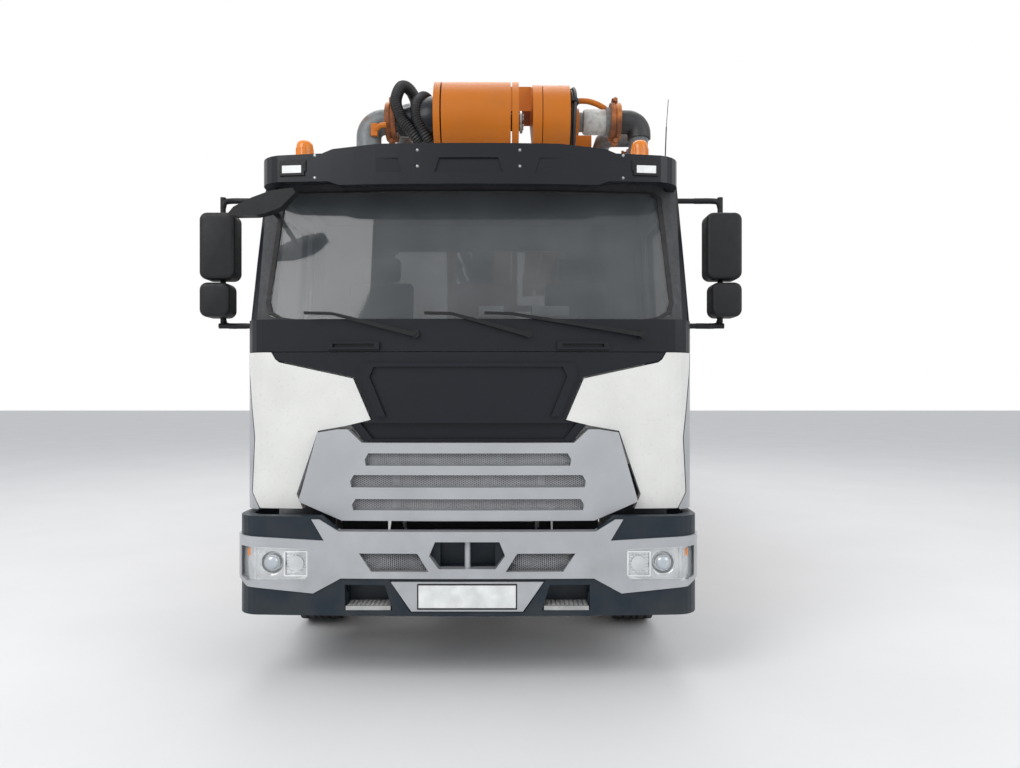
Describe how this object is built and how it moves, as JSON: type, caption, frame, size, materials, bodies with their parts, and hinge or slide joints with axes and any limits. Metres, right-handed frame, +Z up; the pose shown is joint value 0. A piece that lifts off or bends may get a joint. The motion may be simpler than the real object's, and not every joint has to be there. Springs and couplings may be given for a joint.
{
  "type": "concrete pump truck",
  "caption": "Cab-over three-axle lorry with a slewing, folding placing boom, tail hopper with pump, and swing-out outriggers with jack legs",
  "frame": {"origin": "centre of the overall bounding box in plan, on the ground under the tyres", "axes": "the truck looks along -Y, +X is the driver's side (left side of the vehicle), +Z is up"},
  "size_m": [3.18, 11.4, 3.95],
  "materials": {
    "chassis_grey": "satin paint",
    "cab_white": "gloss paint",
    "silver_grey": "satin metallic paint",
    "dark_grey": "gloss paint",
    "bumper_blue_grey": "satin paint",
    "black_trim": "matte",
    "window_glass": "clear",
    "lamp_glass": "clear lens",
    "amber_lens": "translucent lens",
    "boom_orange": "gloss paint",
    "pipe_grey": "worn paint",
    "tank_grey": "satin paint",
    "steel": "bare steel",
    "tyre_rubber": "matte rubber",
    "seat_cloth": "woven",
    "iron": "cast"
  },
  "bodies": {
    "chassis": {"chassis_frame": "chassis_grey", "axles": "iron", "engine_block": "iron", "cooler_pack": "black_trim", "cab_shell": "cab_white", "cab_interior": "seat_cloth", "windscreen": "window_glass", "dark_panels": "dark_grey", "white_panels": "cab_white", "silver_panels": "silver_grey", "grille_mesh": "black_trim", "bumper_dark": "bumper_blue_grey", "bumper_silver": "silver_grey", "headlamps": "lamp_glass", "signal_lamps": "amber_lens", "visor": "dark_grey", "mirrors": "black_trim", "wipers": "black_trim", "deck": "chassis_grey", "side_tanks": "tank_grey", "outrigger_frame": "boom_orange", "pump_unit": "pipe_grey", "delivery_line": "pipe_grey", "hopper": "boom_orange"},
    "knuckle_left": {"knuckle_left": "iron"},
    "knuckle_right": {"knuckle_right": "iron"},
    "wheel_front_left": {"wheel_front_left": "tyre_rubber"},
    "wheel_front_right": {"wheel_front_right": "tyre_rubber"},
    "wheels_mid_left": {"wheels_mid_left": "tyre_rubber"},
    "wheels_mid_right": {"wheels_mid_right": "tyre_rubber"},
    "wheels_rear_left": {"wheels_rear_left": "tyre_rubber"},
    "wheels_rear_right": {"wheels_rear_right": "tyre_rubber"},
    "door_left": {"door_left": "cab_white", "door_glass_left": "window_glass"},
    "door_right": {"door_right": "cab_white", "door_glass_right": "window_glass"},
    "turret": {"turret": "boom_orange", "turret_pipe": "pipe_grey"},
    "boom_1": {"boom_1": "boom_orange", "boom_1_pipe": "pipe_grey"},
    "boom_2": {"boom_2": "boom_orange", "boom_2_pipe": "pipe_grey"},
    "boom_3": {"boom_3": "boom_orange", "boom_3_pipe": "pipe_grey"},
    "boom_4": {"boom_4": "boom_orange", "boom_4_pipe": "pipe_grey"},
    "luff_barrel": {"luff_barrel": "silver_grey"},
    "luff_rod": {"luff_rod": "steel"},
    "hopper_grate": {"hopper_grate": "chassis_grey"},
    "agitator": {"agitator": "steel"},
    "arm_front_left": {"arm_front_left": "boom_orange"},
    "arm_front_right": {"arm_front_right": "boom_orange"},
    "arm_rear_left": {"arm_rear_left": "boom_orange"},
    "arm_rear_right": {"arm_rear_right": "boom_orange"},
    "leg_front_left": {"leg_front_left": "steel"},
    "leg_front_right": {"leg_front_right": "steel"},
    "leg_rear_left": {"leg_rear_left": "steel"},
    "leg_rear_right": {"leg_rear_right": "steel"}
  },
  "joints": [
    {"name": "steer_left", "type": "hinge", "parent": "chassis", "child": "knuckle_left", "pos_m": [0.88, -4.3, 0.54], "axis": [0, 0, 1], "range_deg": [-32, 32]},
    {"name": "steer_right", "type": "hinge", "parent": "chassis", "child": "knuckle_right", "pos_m": [-0.88, -4.3, 0.54], "axis": [0, 0, 1], "range_deg": [-32, 32]},
    {"name": "roll_front_left", "type": "hinge", "parent": "knuckle_left", "child": "wheel_front_left", "pos_m": [1.08, -4.3, 0.54], "axis": [1, 0, 0], "continuous": true},
    {"name": "roll_front_right", "type": "hinge", "parent": "knuckle_right", "child": "wheel_front_right", "pos_m": [-1.08, -4.3, 0.54], "axis": [1, 0, 0], "continuous": true},
    {"name": "roll_mid_left", "type": "hinge", "parent": "chassis", "child": "wheels_mid_left", "pos_m": [1, 0.45, 0.54], "axis": [1, 0, 0], "continuous": true},
    {"name": "roll_mid_right", "type": "hinge", "parent": "chassis", "child": "wheels_mid_right", "pos_m": [-1, 0.45, 0.54], "axis": [1, 0, 0], "continuous": true},
    {"name": "roll_rear_left", "type": "hinge", "parent": "chassis", "child": "wheels_rear_left", "pos_m": [1, 1.85, 0.54], "axis": [1, 0, 0], "continuous": true},
    {"name": "roll_rear_right", "type": "hinge", "parent": "chassis", "child": "wheels_rear_right", "pos_m": [-1, 1.85, 0.54], "axis": [1, 0, 0], "continuous": true},
    {"name": "door_swing_left", "type": "hinge", "parent": "chassis", "child": "door_left", "pos_m": [1.265, -5.214, 2], "axis": [0, 0, -1], "range_deg": [0, 70]},
    {"name": "door_swing_right", "type": "hinge", "parent": "chassis", "child": "door_right", "pos_m": [-1.265, -5.214, 2], "axis": [0, 0, 1], "range_deg": [0, 70]},
    {"name": "slew", "type": "hinge", "parent": "chassis", "child": "turret", "pos_m": [0, -3.15, 1.4], "axis": [0, 0, 1], "range_deg": [-180, 180]},
    {"name": "luff", "type": "hinge", "parent": "turret", "child": "boom_1", "pos_m": [0, -4.4, 3.51], "axis": [1, 0, 0], "range_deg": [0, 80]},
    {"name": "unfold_2", "type": "hinge", "parent": "boom_1", "child": "boom_2", "pos_m": [0, 4.65, 3.675], "axis": [-1, 0, 0], "range_deg": [0, 180]},
    {"name": "unfold_3", "type": "hinge", "parent": "boom_2", "child": "boom_3", "pos_m": [0.55, -4.4, 3.51], "axis": [1, 0, 0], "range_deg": [0, 180]},
    {"name": "unfold_4", "type": "hinge", "parent": "boom_3", "child": "boom_4", "pos_m": [0.77, 4, 3.51], "axis": [-1, 0, 0], "range_deg": [0, 180]},
    {"name": "lift_swing", "type": "hinge", "parent": "turret", "child": "luff_barrel", "pos_m": [0, -2.95, 1.62], "axis": [1, 0, 0], "range_deg": [0, 1.92]},
    {"name": "lift_stroke", "type": "slide", "parent": "luff_barrel", "child": "luff_rod", "axis": [0, -0.2967, 0.955], "range_m": [0, 1.327]},
    {"name": "grate_lift", "type": "hinge", "parent": "chassis", "child": "hopper_grate", "pos_m": [0, 4.495, 1.506], "axis": [1, 0, 0], "range_deg": [0, 85]},
    {"name": "agitator_turn", "type": "hinge", "parent": "chassis", "child": "agitator", "pos_m": [0, 5.08, 0.96], "axis": [1, 0, 0], "continuous": true},
    {"name": "swing_front_left", "type": "hinge", "parent": "chassis", "child": "arm_front_left", "pos_m": [0.8, -3.32, 0.9], "axis": [0, 0, -1], "range_deg": [0, 110]},
    {"name": "jack_front_left", "type": "slide", "parent": "arm_front_left", "child": "leg_front_left", "axis": [0, 0, -1], "range_m": [0, 0.325]},
    {"name": "swing_front_right", "type": "hinge", "parent": "chassis", "child": "arm_front_right", "pos_m": [-0.8, -3.32, 0.9], "axis": [0, 0, 1], "range_deg": [0, 110]},
    {"name": "jack_front_right", "type": "slide", "parent": "arm_front_right", "child": "leg_front_right", "axis": [0, 0, -1], "range_m": [0, 0.325]},
    {"name": "swing_rear_left", "type": "hinge", "parent": "chassis", "child": "arm_rear_left", "pos_m": [0.8, 2.85, 0.9], "axis": [0, 0, -1], "range_deg": [0, 80]},
    {"name": "jack_rear_left", "type": "slide", "parent": "arm_rear_left", "child": "leg_rear_left", "axis": [0, 0, -1], "range_m": [0, 0.325]},
    {"name": "swing_rear_right", "type": "hinge", "parent": "chassis", "child": "arm_rear_right", "pos_m": [-0.8, 2.85, 0.9], "axis": [0, 0, 1], "range_deg": [0, 80]},
    {"name": "jack_rear_right", "type": "slide", "parent": "arm_rear_right", "child": "leg_rear_right", "axis": [0, 0, -1], "range_m": [0, 0.325]}
  ],
  "couplings": [
    {"joint": "steer_right", "follows": "steer_left", "ratio": 1},
    {"joint": "lift_swing", "follows": "luff", "ratio": 0.017785},
    {"joint": "lift_stroke", "follows": "luff", "m_per_rad": 0.94712}
  ]
}
